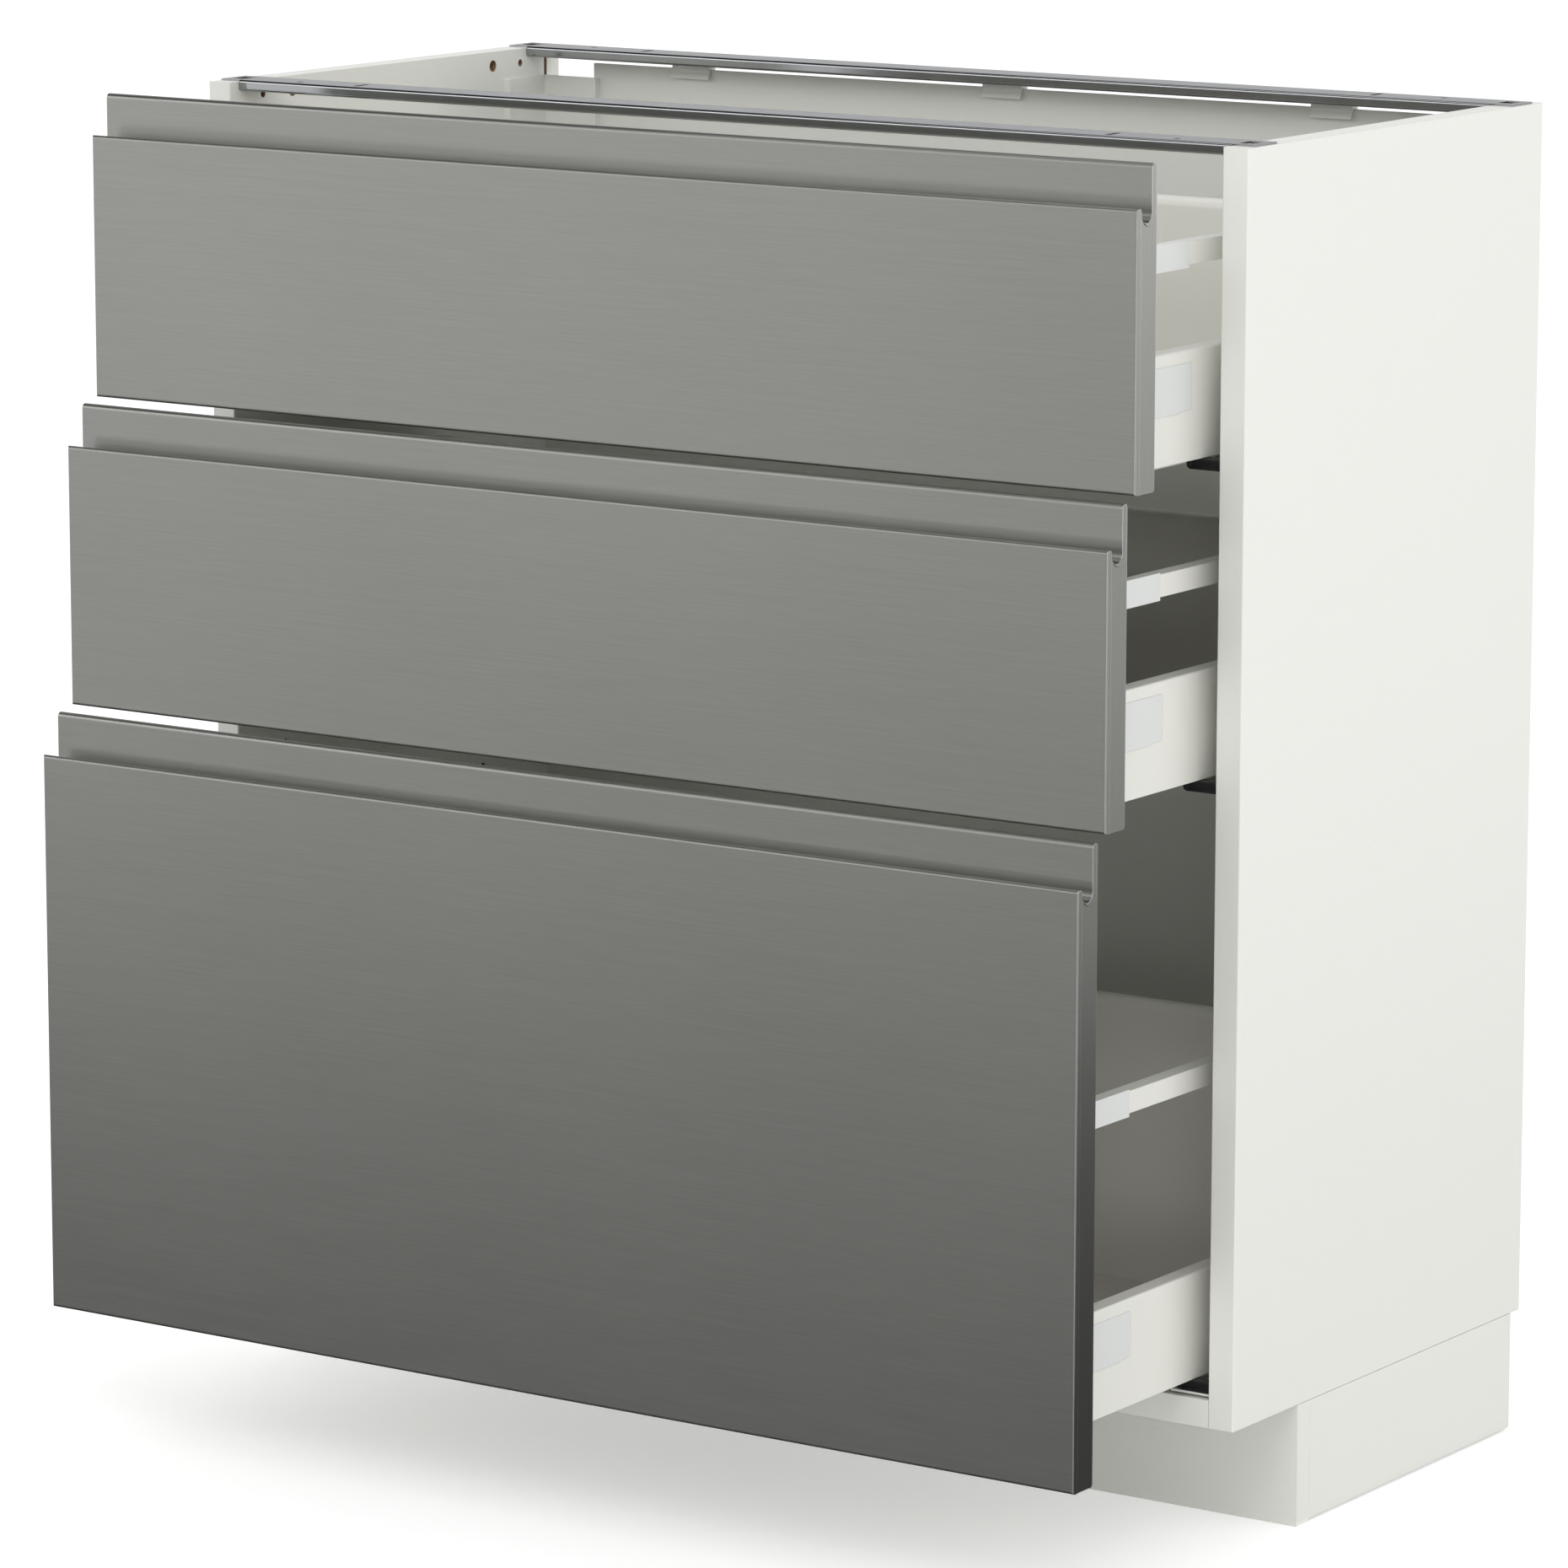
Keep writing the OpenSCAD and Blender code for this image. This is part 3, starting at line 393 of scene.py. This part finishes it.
def make_lamp(name, place, target, width, height, watts):
    """A soft rectangular lamp at a place, facing a target."""
    data = bpy.data.lights.new(name, "AREA")
    data.shape = "RECTANGLE"
    data.size = width
    data.size_y = height
    data.energy = watts
    lamp = bpy.data.objects.new(name, data)
    lamp.location = place
    lamp.rotation_mode = "QUATERNION"
    lamp.rotation_quaternion = (Vector(target) - Vector(place)).to_track_quat("-Z", "Y")
    bpy.context.scene.collection.objects.link(lamp)


def dress(names, material):
    """Gives CAD nodes one material."""
    for name in names:
        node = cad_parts[name]
        node.data.materials.clear()
        node.data.materials.append(material)


def dress_carcass(zinc, paint, soft, black):
    """Boards, rails, runners, covers and legs."""
    for name in BOARDS:
        dress([name], foil_panel(name + "_foil", name))
    dress(["carcass_dowels"], dowel_wood("beech"))
    dress(["top_rail_front", "top_rail_rear", "runner_screws"], zinc)
    dress(["back_panel_clips", "corner_cover_left", "corner_cover_right", "plinth_clips"], soft)
    dress(["leg_sockets", "runner_front_ends", *FEET], black)
    dress(["runner_rails"], paint)


def dress_drawers(zinc, paint, cool):
    """Fronts, boxes and fittings of the drawers."""
    steel = brushed_steel("brushed_steel")
    clear = moulded("clear_plastic", CLEAR, 0.25, Transmission_Weight=0.6)
    board = foil_board("drawer_foil", BOARD_FOIL)
    rear_foil = foil_board("front_foil", FRONT_FOIL)
    for drawer in DRAWERS:
        painted = [drawer + part for part in ("_side_left", "_side_right", "_rear_wall",
                                              "_gallery_rails")]
        dress(["runner_middles_" + drawer, drawer + "_front_brackets"], zinc)
        dress([drawer + "_front_skin"], steel)
        dress([drawer + "_front_core"], rear_foil)
        dress([drawer + "_bottom_board"], board)
        dress(painted, paint)
        dress([drawer + "_gallery_connectors", drawer + "_side_caps"], cool)
        dress([drawer + "_bumpers"], clear)


make_camera()
make_room()
make_floor()
for card in CARDS:
    make_card(*card)
for lamp in LAMPS:
    make_lamp(*lamp)
zinc_finish = zinc_plate("zinc")
paint_finish = powder_coat("powder_coat")
dress_carcass(zinc_finish, paint_finish, moulded("white_plastic", SOFT_WHITE, 0.40),
              moulded("black_plastic", BLACK, 0.42))
dress_drawers(zinc_finish, paint_finish, moulded("cool_plastic", COOL_WHITE, 0.38))
bpy.context.scene.view_settings.view_transform = "Standard"
